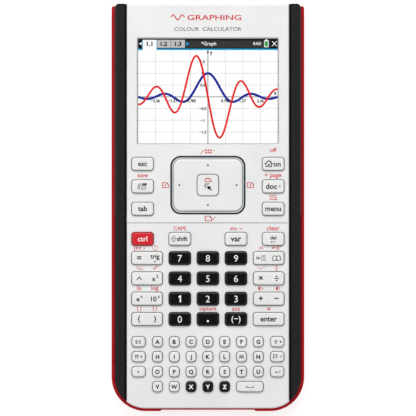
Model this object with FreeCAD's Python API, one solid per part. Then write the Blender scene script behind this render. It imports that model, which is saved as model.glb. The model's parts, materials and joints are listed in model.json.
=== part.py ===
"""Handheld graphing calculator with a slide-on hard case, as an assembly of separate parts.

Millimetres. +Z points out of the display, +Y towards the display end and +X to the right of a
reader. The origin is the centre of the bounding box's bottom face, so the case rests on Z = 0.
Each sub-part is written to parts/NAME.step, where NAME is the part's node name.
"""

import FreeCAD
import Part
import os
from collections import namedtuple
from math import pi, sin, tan

Vector = FreeCAD.Vector

# Overall plan of the handheld and its case.
CASE_HALF_WIDTH = 45.0
CASE_BOTTOM_Y = -95.0
CASE_TOP_Y = 94.2
CASE_CORNER_R = 16.0
BODY_HALF_WIDTH = 43.35
BODY_TOP_Y = 94.8
BODY_BOTTOM_Y = -93.4
BODY_CORNER_R = 14.4
BODY_TOP_R = 2.0
PLATE_HALF_WIDTH = 37.8
RAIL_TOP_Y = 95.0
RAIL_TOP_R = 2.0
FAR = 100.0  # further than any edge, for cuts that go right through

# Heights of the stack, from the table up.
CASE_FLOOR = 1.6
BACK_Z = 3.2
PARTING_Z = 11.6
FACE_Z = 17.4
KEY_TOP_Z = 18.75
ROCKER_TOP_Z = 18.8
PAD_TOP_Z = 18.0
WALL = 1.6
FACE_THICKNESS = 1.8
FACE_UNDER_Z = FACE_Z - FACE_THICKNESS
FACE_EDGE_R = 0.8
BOARD_Z = 11.4
BOARD_THICKNESS = 1.2
BOARD_TOP_Z = BOARD_Z + BOARD_THICKNESS
BOARD_INSET = WALL + 0.4

# Side groove that the case's lips slide in.
GROOVE_Z = 9.6
GROOVE_HALF_WIDTH = 42.15
RAIL_STEP_Y = -3.3
RAIL_LOWER_HALF_WIDTH = 43.1
RAIL_INNER_X = 38.8
RAIL_ROLL_R = 1.6
RAIL_SLOT_DEPTH = 3.0

# Slide case.
CASE_WALL = 1.5
CASE_GAP = 0.2
CASE_EDGE_R = 2.6
CASE_RIM_R = 0.45
CASE_TOP_R = 1.2
LIP_CLEARANCE = 0.25
LIP_Z = (GROOVE_Z + 0.3, GROOVE_Z + 1.1)
UPPER_LIP_Y = 80.0
THUMB_HALF_WIDTH = 21.6
THUMB_DEPTH = 0.65
THUMB_FLARE = 0.7
NOTCH_X = 38.0
NOTCH_Y = -92.2

# Back shell.
REAR_EDGE_R = 2.4
REAR_SIDE_WALL = 2.6
REAR_END_HALF_WIDTH = 36.0

# Display.
DISPLAY_Y = 54.3
VIEW_WIDTH = 65.8
VIEW_HEIGHT = 49.4
WINDOW_WIDTH = 69.0
WINDOW_HEIGHT = 52.6
WINDOW_TOP_Z = 16.6
WINDOW_THICKNESS = 1.2
POCKET_CLEARANCE = 0.2
BEVEL = 0.35
REST_LIP = 0.2
GASKET_THICKNESS = 0.3
MODULE_WIDTH = 70.0
MODULE_HEIGHT = 57.0
MODULE_EAR_WIDTH = 30.0
MODULE_EAR_LENGTH = 4.0
MODULE_EAR_THICKNESS = 0.8

# Touchpad.
PAD_Y = 10.5
PAD_WIDTH = 32.2
PAD_HEIGHT = 24.3
PAD_R = 3.7
PAD_GAP = 0.25
PAD_EDGE_R = 0.95
RING_WIDTH = 35.0
RING_HEIGHT = 27.3
RING_R = 4.9
RING_BAND = 0.85
RING_DEPTH = 1.0
RING_PROUD = 0.1
RING_CLEARANCE = 0.03
CLICK_SIZE = 9.8
CLICK_R = 1.9
CLICK_GAP = 0.35
CLICK_TOP_Z = PAD_TOP_Z + 0.1
CLICK_FOOT_Z = 15.0
PAD_WALL = 1.2
PAD_SKIRT_Z = 15.5
SENSOR_THICKNESS = 0.8
BRACKET_Z = 13.6
BRACKET_THICKNESS = 0.5
PIVOT_Z = 14.2
PIVOT_R = 0.7
PIVOT_BLOCK_X = (17.6, 19.6)
PIVOT_BLOCK_HALF = 2.0
PIVOT_PIN_X = (14.5, 19.3)
RIDGE_R = 0.6
RIDGE_Y = (5.9, 10.3)

# Keys. Each cap passes through its own opening with KEY_GAP all round.
KEY_GAP = 0.3
KEY_FLANGE = 0.6
FLANGE_Z = 14.6
FLANGE_THICKNESS = 0.8
TRUNNION_R = 0.45
TRUNNION_Z = 15.0
DIVIDER_WIDTH = 0.2
DIVIDER_DEPTH = 0.12
KEY_EDGE_R = 0.65
KEY_DRAFT = 0.1
KEY_CROWN_R = 110.0
SINGLE_WIDTH = 10.0
ROCKER_WIDTH = 14.2
KEY_HEIGHT = 5.95
KEY_R = 1.25
LETTER_WIDTH = 4.5
END_WIDTH = 6.1
SPACE_WIDTH = 12.35
LETTER_HEIGHT = 4.65
LETTER_R = 1.45
OUTER_COLUMN_X = 30.4
NUMBER_COLUMN_X = 13.07
ROCKER_COLUMN_X = 28.3
END_COLUMN_X = 32.25
SPACE_X = 19.55
UPPER_ROW_Y = 20.35
UPPER_PITCH = 10.45
CONTROL_ROW_Y = -14.55
NUMBER_ROW_Y = -23.47
NUMBER_PITCH = 9.46
LETTER_ROW_Y = -62.4
LETTER_PITCH_X = 7.82
LETTER_PITCH_Y = 6.97
SEAM_Y = -7.1
SEAM_WIDTH = 0.5
SEAM_DEPTH = 0.5

# Rubber membrane under the keys.
SHEET_TOP_Z = BOARD_TOP_Z + 0.6
DOME_R = 2.0
SMALL_DOME_R = 1.6
DOME_TAPER = 0.6
DOME_SPREAD = {ROCKER_WIDTH: 3.8, SPACE_WIDTH: 3.6}

# Fasteners, as (x, y) of the housing screws and of the battery cover's screws.
HOUSING_SCREWS = [(s * x, y) for x, y in ((33.0, 89.6), (21.3, 0.0), (30.0, -86.0)) for s in (-1, 1)]
SHANK_R = 0.9
HEAD_R = 1.8
HEAD_HEIGHT = 1.2
BOSS_R = 2.5
SCREW_CLEARANCE = 0.15
HEAD_SINK = 0.2
DRIVE_HALF = 1.0
DRIVE_SLOT_HALF = 0.2
DRIVE_DEPTH = 0.7
COVER_SCREW_LENGTH = 5.0

# Battery bay.
BATTERY_Y = -34.0
BATTERY_WIDTH = 60.0
BATTERY_LENGTH = 36.0
BATTERY_THICKNESS = 5.0
COVER_WIDTH = 66.0
COVER_LENGTH = 52.0
COVER_SCREWS = [(0.0, BATTERY_Y + s * 22.6) for s in (-1, 1)]
BAY_WALL = 1.2
BAY_CLEARANCE = 1.0
LEDGE = 2.0
COVER_CLEARANCE = 0.15
GRIP_LINES = 7
GRIP_PITCH = 1.5
GRIP_Y = BATTERY_Y + 14.0
GRIP_WIDTH = 18.0

# Feet, ports and what is on the circuit board.
FOOT_R = 4.0
FOOT_HEIGHT = 1.3
FOOT_PLACES = [(-33.0, 76.0), (33.0, 76.0), (-33.0, -70.0), (33.0, -70.0)]
RESET_X = 24.0
RESET_Y = 22.0
RESET_R = 1.5
USB_WIDTH = 7.7
USB_HEIGHT = 3.8
USB_DEPTH = 8.6
DOCK_WIDTH = 26.0
DOCK_HEIGHT = 2.4
DOCK_PITCH = 2.0
PORT_CLEARANCE = 0.2
PORT_WALL = 4.0
SHELL_THICKNESS = 0.4
LIGHT_X = 12.0
LIGHT_Z = 8.6
LIGHT_R = 1.0

# Packages under the board, as x, y, width, length and height.
COMPONENTS = [
    (-14, 40, 14, 14, 1.2), (6, 40, 12, 10, 1.0), (-14, 62, 12, 18, 1.0), (8, 60, 9, 9, 1.0),
    (26, 58, 6, 8, 1.6), (24, 40, 5, 5, 1.0), (-30, 30, 6, 4, 1.4), (-24, -8, 9, 5, 3.0),
    (RESET_X, RESET_Y, 5, 5, 2.0),
]

Key = namedtuple("Key", "name x y width height radius rocks")


def rounded_wire(corners, z):
    """Closed wire through (x, y, radius) corners, each rounded by an arc tangent to its sides."""
    starts, middles, ends = [], [], []
    for i, (x, y, radius) in enumerate(corners):
        here = Vector(x, y, z)
        after = corners[(i + 1) % len(corners)]
        back = (Vector(corners[i - 1][0], corners[i - 1][1], z) - here).normalize()
        ahead = (Vector(after[0], after[1], z) - here).normalize()
        half = back.getAngle(ahead) / 2
        bisector = (back + ahead).normalize()
        starts.append(here + back * (radius / tan(half)))
        ends.append(here + ahead * (radius / tan(half)))
        middles.append(here + bisector * (radius / sin(half) - radius))
    edges = []
    for i, corner in enumerate(corners):
        if corner[2] > 0:
            edges.append(Part.Arc(starts[i], middles[i], ends[i]).toShape())
        following = starts[(i + 1) % len(corners)]
        if (following - ends[i]).Length > 1e-6:
            edges.append(Part.LineSegment(ends[i], following).toShape())
    return Part.Wire(edges)


def prism(corners, low, high):
    """Upright solid on a rounded outline."""
    return Part.Face(rounded_wire(corners, low)).extrude(Vector(0, 0, high - low))


def rectangle(x, y, width, height, radius):
    """Corners of a rounded rectangle about (x, y)."""
    half_w, half_h = width / 2, height / 2
    signs = ((-1, -1), (1, -1), (1, 1), (-1, 1))
    return [(x + sx * half_w, y + sy * half_h, radius) for sx, sy in signs]


def block(x_span, y_span, z_span):
    """Box between two corners, given as spans."""
    size = [span[1] - span[0] for span in (x_span, y_span, z_span)]
    return Part.makeBox(*size, Vector(x_span[0], y_span[0], z_span[0]))


def pin(x, y, radius, low, high):
    """Upright cylinder."""
    return Part.makeCylinder(radius, high - low, Vector(x, y, low))


def body_corners(inset=0.0, half_width=BODY_HALF_WIDTH):
    """The handheld's plan: big radii at the bottom end, small ones at the top."""
    low_r = max(BODY_CORNER_R - inset, 0.5)
    top_r = max(BODY_TOP_R - inset, 0.5)
    w, bottom, top = half_width - inset, BODY_BOTTOM_Y + inset, BODY_TOP_Y - inset
    return [(-w, bottom, low_r), (w, bottom, low_r), (w, top, top_r), (-w, top, top_r)]


def all_of(shapes):
    """One shape from several that overlap or touch."""
    return shapes[0].multiFuse(shapes[1:]) if len(shapes) > 1 else shapes[0]


def edges_at(shape, z):
    """Edges that lie wholly at height z."""
    return [e for e in shape.Edges if max(abs(e.BoundBox.ZMin - z), abs(e.BoundBox.ZMax - z)) < 1e-4]


def save(shape, name):
    """Write one node, as its solids."""
    solids = shape.Solids
    if not solids or not all(s.isValid() and s.Volume > 0 for s in solids):
        raise ValueError(f"{name} is not made of valid solids")
    result = solids[0] if len(solids) == 1 else Part.makeCompound(solids)
    result.exportStep(os.path.join("parts", name + ".step"))


# Keys ---------------------------------------------------------------------------------------------

def number_row(index):
    """Height of one of the four rows that the number keys share with the rocker keys."""
    return NUMBER_ROW_Y - index * NUMBER_PITCH


def main_keys():
    """Every function and number key, one node each."""
    keys = []

    def add(name, x, y, width=SINGLE_WIDTH, rocks=False):
        keys.append(Key(name, x, y, width, KEY_HEIGHT, KEY_R, rocks))

    sides = (("escape", "scratchpad", "tab"), ("home", "document", "menu"))
    for sign, names in zip((-1, 1), sides):
        for i, name in enumerate(names):
            add(name + "_key", sign * OUTER_COLUMN_X, UPPER_ROW_Y - i * UPPER_PITCH)
    control_row = ("control", -OUTER_COLUMN_X), ("shift", -NUMBER_COLUMN_X)
    control_row += ("variable", NUMBER_COLUMN_X), ("delete", OUTER_COLUMN_X)
    for name, x in control_row:
        add(name + "_key", x, CONTROL_ROW_Y)
    left = ("equals_trig", "power_square", "exponential", "bracket")
    right = ("template_catalog", "multiply_divide", "plus_minus")
    for sign, names in ((-1, left), (1, right)):
        for i, name in enumerate(names):
            add(name + "_key", sign * ROCKER_COLUMN_X, number_row(i), ROCKER_WIDTH, True)
    add("enter_key", ROCKER_COLUMN_X, number_row(3), ROCKER_WIDTH)
    numbers = ("seven", "eight", "nine"), ("four", "five", "six"), ("one", "two", "three")
    numbers += (("zero", "point", "negate"),)
    for i, names in enumerate(numbers):
        for j, name in enumerate(names):
            add(name + "_key", (j - 1) * NUMBER_COLUMN_X, number_row(i))
    return keys


def letter_keys():
    """The small letter keys as node name to keys: a row of keys shares one node."""
    nodes = {}
    for row in range(3):
        y = LETTER_ROW_Y - row * LETTER_PITCH_Y
        columns = [((i - 3) * LETTER_PITCH_X, LETTER_WIDTH) for i in range(7)]
        columns += [(-END_COLUMN_X, END_WIDTH), (END_COLUMN_X, END_WIDTH)]
        name = f"letter_keys_row_{row + 1}"
        nodes[name] = [Key(name, x, y, w, LETTER_HEIGHT, LETTER_R, False) for x, w in columns]
    y = LETTER_ROW_Y - 3 * LETTER_PITCH_Y
    for name, columns in (("letter_keys_row_4", (0, 1)), ("variable_letter_keys", (2, 3, 4))):
        nodes[name] = [
            Key(name, (i - 3) * LETTER_PITCH_X, y, LETTER_WIDTH, LETTER_HEIGHT, LETTER_R, False)
            for i in columns
        ]
    nodes["space_key"] = [Key("space_key", SPACE_X, y, SPACE_WIDTH, LETTER_HEIGHT, LETTER_R, False)]
    return nodes


def key_shape(key):
    """A cap with a crowned top and rounded rim, held under the face by a flange or by trunnions."""
    top_z = ROCKER_TOP_Z if key.rocks else KEY_TOP_Z
    outline = rectangle(key.x, key.y, key.width, key.height, key.radius)
    drafted = rectangle(
        key.x, key.y, key.width - 2 * KEY_DRAFT, key.height - 2 * KEY_DRAFT, key.radius - KEY_DRAFT)
    above = top_z + 1
    head = Part.makeLoft([rounded_wire(outline, FACE_Z), rounded_wire(drafted, above)], True, True)
    head = head.common(Part.makeSphere(KEY_CROWN_R, Vector(key.x, key.y, top_z - KEY_CROWN_R)))
    rim = [e for e in head.Edges if e.BoundBox.ZMin > FACE_Z + 0.1 and e.BoundBox.ZLength < 0.5]
    head = head.makeFillet(KEY_EDGE_R, rim)
    reach = key.height + 2 * KEY_FLANGE
    if key.rocks:
        start = Vector(key.x, key.y - reach / 2, TRUNNION_Z)
        held = Part.makeCylinder(TRUNNION_R, reach, start, Vector(0, 1, 0))
        divider = block((key.x - DIVIDER_WIDTH / 2, key.x + DIVIDER_WIDTH / 2),
                        (key.y - FAR, key.y + FAR), (top_z - DIVIDER_DEPTH, above))
        head = head.cut(divider)
    else:
        wide = rectangle(key.x, key.y, key.width + 2 * KEY_FLANGE, reach, key.radius)
        held = prism(wide, FLANGE_Z, FLANGE_Z + FLANGE_THICKNESS)
    return all_of([prism(outline, FLANGE_Z, FACE_Z), head, held]).removeSplitter()


def dome_places(key):
    """Where the membrane's domes stand under a key."""
    spread = DOME_SPREAD.get(key.width, 0.0)
    return [(key.x + s * spread, key.y) for s in ((-1, 1) if spread else (0,))]


# Housings -----------------------------------------------------------------------------------------

def front_housing(keys):
    """White face with its side walls, screw bosses, and an opening for each key."""
    clip = block((-PLATE_HALF_WIDTH, PLATE_HALF_WIDTH), (-FAR, FAR), (0, FAR))
    shell = prism(body_corners(), PARTING_Z, FACE_Z).common(clip)
    shell = shell.makeFillet(FACE_EDGE_R, edges_at(shell, FACE_Z))
    inner_x = PLATE_HALF_WIDTH - WALL
    cavity = prism(body_corners(WALL), PARTING_Z, FACE_UNDER_Z)
    cavity = cavity.common(block((-inner_x, inner_x), (-FAR, FAR), (0, FAR)))
    shell = shell.cut(cavity)
    bosses = [pin(x, y, BOSS_R, BOARD_TOP_Z, FACE_UNDER_Z) for x, y in HOUSING_SCREWS]
    bosses += pivot_blocks()
    shell = all_of([shell] + bosses)
    cuts = [
        prism(rectangle(k.x, k.y, k.width + 2 * KEY_GAP, k.height + 2 * KEY_GAP,
                        k.radius + KEY_GAP), FACE_UNDER_Z - 1, FACE_Z + 1)
        for k in keys
    ]
    cuts += [pin(x, y, SHANK_R + 0.05, BOARD_TOP_Z - 1, FACE_UNDER_Z + 0.4) for x, y in HOUSING_SCREWS]
    cuts += display_cuts() + touchpad_cuts()
    cuts.append(block((-FAR, FAR), (SEAM_Y - SEAM_WIDTH / 2, SEAM_Y + SEAM_WIDTH / 2),
                      (FACE_Z - SEAM_DEPTH, FACE_Z + 1)))
    return shell.cut(Part.makeCompound(cuts))


def display_cuts():
    """The view opening with a bevelled rim, and the pocket behind it that holds the window."""
    view = rectangle(0, DISPLAY_Y, VIEW_WIDTH, VIEW_HEIGHT, 0.4)
    wide = rectangle(0, DISPLAY_Y, VIEW_WIDTH + 2 * BEVEL, VIEW_HEIGHT + 2 * BEVEL, 0.4 + BEVEL)
    bevel = Part.makeLoft(
        [rounded_wire(view, FACE_Z - BEVEL), rounded_wire(wide, FACE_Z)], True, True)
    pocket = rectangle(
        0, DISPLAY_Y, WINDOW_WIDTH + 2 * POCKET_CLEARANCE, WINDOW_HEIGHT + 2 * POCKET_CLEARANCE, 1.2)
    return [
        prism(view, WINDOW_TOP_Z - REST_LIP, FACE_Z + 1),
        bevel,
        prism(pocket, FACE_UNDER_Z - 1, WINDOW_TOP_Z),
    ]


def touchpad_cuts():
    """The hole that the pad moves in and the channel that holds its trim ring."""
    hole = rectangle(0, PAD_Y, PAD_WIDTH + 2 * PAD_GAP, PAD_HEIGHT + 2 * PAD_GAP, PAD_R + PAD_GAP)
    channel = ring_solid(RING_CLEARANCE, FACE_Z - RING_DEPTH, FACE_Z + 1)
    return [prism(hole, FACE_UNDER_Z - 1, FACE_Z + 1), channel]


def ring_solid(grow, low, high):
    """The closed band of the trim ring, grown on both faces."""
    outer = rectangle(0, PAD_Y, RING_WIDTH + 2 * grow, RING_HEIGHT + 2 * grow, RING_R + grow)
    take = RING_BAND + grow
    inner = rectangle(0, PAD_Y, RING_WIDTH - 2 * take, RING_HEIGHT - 2 * take, RING_R - take)
    return prism(outer, low, high).cut(prism(inner, low - 1, high + 1))


def trim_ring():
    """Coloured ring let into the face round the touchpad."""
    ring = ring_solid(0.0, FACE_Z - RING_DEPTH, FACE_Z + RING_PROUD)
    return ring.makeFillet(0.2, edges_at(ring, FACE_Z + RING_PROUD))


def pivot_blocks():
    """Two blocks under the face, bored for the touchpad bracket's pivot pins."""
    blocks = []
    for side in (-1, 1):
        x = sorted(side * edge for edge in PIVOT_BLOCK_X)
        y = (PAD_Y - PIVOT_BLOCK_HALF, PAD_Y + PIVOT_BLOCK_HALF)
        made = block(x, y, (PIVOT_Z - 1.3, FACE_UNDER_Z))
        bore = Part.makeCylinder(
            PIVOT_R + 0.08, x[1] - x[0] + 1, Vector(x[0] - 0.5, PAD_Y, PIVOT_Z), Vector(1, 0, 0))
        blocks.append(made.cut(bore))
    return blocks


def side_rail(side):
    """Dark rail along one side of the face, with a rolled outer edge and a slot beside the face."""
    roll_x, roll_z = BODY_HALF_WIDTH - RAIL_ROLL_R, FACE_Z - RAIL_ROLL_R
    slot_z = FACE_Z - RAIL_SLOT_DEPTH
    outline = [
        (PLATE_HALF_WIDTH, PARTING_Z), (BODY_HALF_WIDTH, PARTING_Z), (BODY_HALF_WIDTH, roll_z),
        (roll_x, FACE_Z), (RAIL_INNER_X, FACE_Z), (RAIL_INNER_X, slot_z), (PLATE_HALF_WIDTH, slot_z),
    ]
    points = [Vector(x, -FAR, z) for x, z in outline]
    diagonal = RAIL_ROLL_R * sin(pi / 4)
    shoulder = Vector(roll_x + diagonal, -FAR, roll_z + diagonal)
    edges = [Part.LineSegment(a, b).toShape() for a, b in zip(points, points[1:] + points[:1])]
    edges[2] = Part.Arc(points[2], shoulder, points[3]).toShape()
    rail = Part.Face(Part.Wire(edges)).extrude(Vector(0, FAR + RAIL_TOP_Y, 0))
    corners = body_corners()
    corners[2:] = [(s * BODY_HALF_WIDTH, RAIL_TOP_Y, RAIL_TOP_R) for s in (1, -1)]
    rail = rail.common(prism(corners, 0, FAR))
    lower = block((RAIL_LOWER_HALF_WIDTH, FAR), (-FAR, RAIL_STEP_Y), (0, FAR))
    rail = rail.cut(lower)
    if side < 0:
        rail = rail.mirror(Vector(0, 0, 0), Vector(1, 0, 0))
    return rail


def rear_housing():
    """Dark back shell with the case groove, battery bay, screw bosses and port openings."""
    shell = prism(body_corners(), BACK_Z, PARTING_Z)
    shell = shell.makeFillet(REAR_EDGE_R, edges_at(shell, BACK_Z))
    cavity = prism(body_corners(REAR_SIDE_WALL), BACK_Z + WALL, PARTING_Z + 1)
    ends = block((-REAR_END_HALF_WIDTH, REAR_END_HALF_WIDTH), (-FAR, FAR), (0, FAR))
    cavity = cavity.fuse(prism(body_corners(WALL), BACK_Z + WALL, PARTING_Z + 1).common(ends))
    shell = shell.cut(cavity)
    for side in (-1, 1):
        x = sorted((side * GROOVE_HALF_WIDTH, side * FAR))
        shell = shell.cut(block(x, (-FAR, FAR), (GROOVE_Z, PARTING_Z + 1)))
    shell = all_of([shell] + rear_bosses() + [battery_bay()])
    return shell.cut(Part.makeCompound(rear_cuts()))


def rear_bosses():
    """Columns that the screws pass through, up to the circuit board."""
    bosses = [pin(x, y, BOSS_R + 0.3, BACK_Z + 0.5, BOARD_Z) for x, y in HOUSING_SCREWS]
    bosses += [pin(x, y, BOSS_R, BACK_Z + 0.5, BACK_Z + 6) for x, y in COVER_SCREWS]
    return bosses


def battery_bay():
    """Upstanding wall round the battery, with its base widened into a ledge for the cover."""
    grow = 2 * (BAY_CLEARANCE + BAY_WALL)
    outer = rectangle(0, BATTERY_Y, BATTERY_WIDTH + grow, BATTERY_LENGTH + grow, 2)
    ledge = rectangle(0, BATTERY_Y, COVER_WIDTH + 2 * LEDGE, COVER_LENGTH + 2 * LEDGE, 4)
    wall = prism(outer, BACK_Z + 1, BACK_Z + 7)
    return wall.fuse(prism(ledge, BACK_Z + 1, BACK_Z + WALL + 1.2))


def rear_cuts():
    """Battery bay, cover recess, screw, reset and connector openings."""
    bay = rectangle(
        0, BATTERY_Y, BATTERY_WIDTH + 2 * BAY_CLEARANCE, BATTERY_LENGTH + 2 * BAY_CLEARANCE, 1)
    recess = rectangle(
        0, BATTERY_Y, COVER_WIDTH + 2 * COVER_CLEARANCE, COVER_LENGTH + 2 * COVER_CLEARANCE, 3.15)
    usb_half = USB_WIDTH / 2 + PORT_CLEARANCE
    dock_half = DOCK_WIDTH / 2 + PORT_CLEARANCE
    cuts = [
        prism(bay, 0, PARTING_Z),
        prism(recess, 0, BACK_Z + WALL),
        pin(RESET_X, RESET_Y, RESET_R + 0.1, 0, PARTING_Z),
        block((-usb_half, usb_half), (BODY_TOP_Y - PORT_WALL, FAR),
              (BOARD_Z - USB_HEIGHT - PORT_CLEARANCE, FAR)),
        block((-dock_half, dock_half), (-FAR, BODY_BOTTOM_Y + PORT_WALL),
              (BOARD_Z - DOCK_HEIGHT - PORT_CLEARANCE, FAR)),
        Part.makeCylinder(LIGHT_R + 0.05, FAR, Vector(LIGHT_X, BODY_TOP_Y - 6, LIGHT_Z), Vector(0, 1, 0)),
    ]
    for x, y in HOUSING_SCREWS:
        cuts.append(pin(x, y, SHANK_R + SCREW_CLEARANCE, 0, PARTING_Z))
        cuts.append(pin(x, y, HEAD_R + SCREW_CLEARANCE, 0, BACK_Z + HEAD_SINK + HEAD_HEIGHT))
    for x, y in COVER_SCREWS:
        cuts.append(pin(x, y, SHANK_R + 0.05, 0, BACK_Z + COVER_SCREW_LENGTH + 0.4))
    return cuts


def battery_cover():
    """Flush door over the battery bay, with counterbored holes and a patch of grip lines."""
    cover = prism(rectangle(0, BATTERY_Y, COVER_WIDTH, COVER_LENGTH, 3), BACK_Z, BACK_Z + WALL - 0.02)
    cover = cover.makeFillet(0.3, edges_at(cover, BACK_Z))
    cuts = []
    for x, y in COVER_SCREWS:
        cuts.append(pin(x, y, SHANK_R + SCREW_CLEARANCE, 0, FAR))
        cuts.append(pin(x, y, HEAD_R + SCREW_CLEARANCE, 0, BACK_Z + HEAD_HEIGHT))
    for step in range(GRIP_LINES):
        y = GRIP_Y + (step - (GRIP_LINES - 1) / 2) * GRIP_PITCH
        cuts.append(prism(rectangle(0, y, GRIP_WIDTH, 0.7, 0.34), 0, BACK_Z + 0.4))
    return cover.cut(Part.makeCompound(cuts))


def screws():
    """All self-tapping screws: six hold the housings and two the battery cover."""
    made = []
    for places, base, top in (
        (HOUSING_SCREWS, BACK_Z + HEAD_SINK, FACE_UNDER_Z - 0.6),
        (COVER_SCREWS, BACK_Z, BACK_Z + COVER_SCREW_LENGTH),
    ):
        for x, y in places:
            head = pin(x, y, HEAD_R, base + 0.1, base + HEAD_HEIGHT)
            head = head.makeFillet(0.3, edges_at(head, base + 0.1))
            drive = all_of([
                block((x - w, x + w), (y - h, y + h), (base, base + DRIVE_DEPTH))
                for w, h in ((DRIVE_HALF, DRIVE_SLOT_HALF), (DRIVE_SLOT_HALF, DRIVE_HALF))
            ])
            made.append(head.fuse(pin(x, y, SHANK_R, base + 0.6, top)).cut(drive))
    return Part.makeCompound(made)


def rear_feet():
    """Four rubber pads that stand between the handheld's back and whatever it lies on."""
    feet = []
    for x, y in FOOT_PLACES:
        foot = pin(x, y, FOOT_R, BACK_Z - FOOT_HEIGHT, BACK_Z)
        feet.append(foot.makeFillet(0.4, edges_at(foot, BACK_Z - FOOT_HEIGHT)))
    return Part.makeCompound(feet)


# Slide case ---------------------------------------------------------------------------------------

def slide_case():
    """Hard tray that slides along the side grooves, open at the display end."""
    inner_x = CASE_HALF_WIDTH - CASE_WALL
    r = CASE_CORNER_R
    outer = [(s * CASE_HALF_WIDTH, CASE_BOTTOM_Y, r) for s in (-1, 1)]
    outer += [(s * CASE_HALF_WIDTH, CASE_TOP_Y, CASE_TOP_R) for s in (1, -1)]
    tray = prism(outer, 0, PARTING_Z)
    tray = tray.makeFillet(CASE_EDGE_R, edges_at(tray, 0))
    tray = tray.makeFillet(CASE_RIM_R, edges_at(tray, PARTING_Z))
    inner = [(s * inner_x, BODY_BOTTOM_Y - CASE_GAP, r - CASE_WALL) for s in (-1, 1)]
    inner += [(s * inner_x, FAR, 0) for s in (1, -1)]
    tray = tray.cut(prism(inner, CASE_FLOOR, FAR))
    tray = all_of([tray] + case_lips(inner_x))
    return tray.cut(Part.makeCompound(case_cuts()))


def case_lips(inner_x):
    """Lips on the side walls that run in the handheld's grooves."""
    lips = []
    for side in (-1, 1):
        x = sorted((side * (GROOVE_HALF_WIDTH + LIP_CLEARANCE), side * (inner_x + 0.2)))
        for y in ((CASE_BOTTOM_Y + CASE_CORNER_R, RAIL_STEP_Y), (UPPER_LIP_Y, CASE_TOP_Y - CASE_WALL)):
            lips.append(block(x, y, LIP_Z))
    return lips


def case_cuts():
    """Shallow thumb recess across the bottom end, and a notch at each side of it."""
    half, wide = THUMB_HALF_WIDTH, THUMB_HALF_WIDTH + THUMB_FLARE
    recess = [(-wide, -FAR), (-wide, CASE_BOTTOM_Y), (-half, CASE_BOTTOM_Y + THUMB_DEPTH),
              (half, CASE_BOTTOM_Y + THUMB_DEPTH), (wide, CASE_BOTTOM_Y), (wide, -FAR)]
    cuts = [prism([(x, y, 0) for x, y in recess], -1, FAR)]
    for side in (-1, 1):
        notch = [(NOTCH_X, NOTCH_Y + 0.35), (NOTCH_X + 0.25, NOTCH_Y - 1.2), (NOTCH_X - 0.9, NOTCH_Y - 1.2)]
        cuts.append(prism([(side * x, y, 0) for x, y in notch], BACK_Z, FAR))
    return cuts


# Inside parts -------------------------------------------------------------------------------------

def display_parts():
    """Clear window, foam gasket and display module, stacked behind the view opening."""
    under = WINDOW_TOP_Z - WINDOW_THICKNESS
    window = prism(rectangle(0, DISPLAY_Y, WINDOW_WIDTH, WINDOW_HEIGHT, 1), under, WINDOW_TOP_Z)
    module_top = under - GASKET_THICKNESS
    gasket = prism(rectangle(0, DISPLAY_Y, WINDOW_WIDTH, WINDOW_HEIGHT, 1), module_top, under)
    hole = rectangle(0, DISPLAY_Y, VIEW_WIDTH + 0.6, VIEW_HEIGHT + 0.6, 0.5)
    gasket = gasket.cut(prism(hole, 0, FAR))
    module = prism(
        rectangle(0, DISPLAY_Y, MODULE_WIDTH, MODULE_HEIGHT, 0.8), BOARD_TOP_Z + 0.1, module_top)
    ear_base = BOARD_TOP_Z + 0.1
    ear = prism(
        rectangle(0, DISPLAY_Y - MODULE_HEIGHT / 2, MODULE_EAR_WIDTH, MODULE_EAR_LENGTH, 0.5),
        ear_base, ear_base + MODULE_EAR_THICKNESS)
    return {
        "display_window": window,
        "display_gasket": gasket,
        "display_module": module.fuse(ear).removeSplitter(),
    }


def touchpad_parts():
    """Pad cap with its sensor board, centre button, and the bracket that they rock on."""
    outer = rectangle(0, PAD_Y, PAD_WIDTH, PAD_HEIGHT, PAD_R)
    plate = prism(outer, PAD_SKIRT_Z, PAD_TOP_Z)
    plate = plate.makeFillet(PAD_EDGE_R, edges_at(plate, PAD_TOP_Z))
    inner = rectangle(0, PAD_Y, PAD_WIDTH - 2, PAD_HEIGHT - 2, PAD_R - 1)
    plate = plate.cut(prism(inner, PAD_SKIRT_Z - 1, PAD_TOP_Z - PAD_WALL))
    hole = CLICK_SIZE + 2 * CLICK_GAP
    plate = plate.cut(prism(rectangle(0, PAD_Y, hole, hole, CLICK_R + CLICK_GAP), 0, FAR))
    board_top = PAD_TOP_Z - PAD_WALL
    board = prism(rectangle(0, PAD_Y, PAD_WIDTH - 2.4, PAD_HEIGHT - 2.4, PAD_R - 1.2),
                  board_top - SENSOR_THICKNESS, board_top)
    board = board.cut(prism(rectangle(0, PAD_Y, hole + 0.8, hole + 0.8, 2), 0, FAR))
    button = prism(rectangle(0, PAD_Y, CLICK_SIZE, CLICK_SIZE, CLICK_R), CLICK_FOOT_Z, CLICK_TOP_Z)
    button = button.makeFillet(0.3, edges_at(button, CLICK_TOP_Z))
    return {
        "touchpad_plate": plate,
        "touchpad_sensor_board": board,
        "touchpad_click_button": button,
        "touchpad_bracket": touchpad_bracket(board_top - SENSOR_THICKNESS - 0.1),
    }


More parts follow.
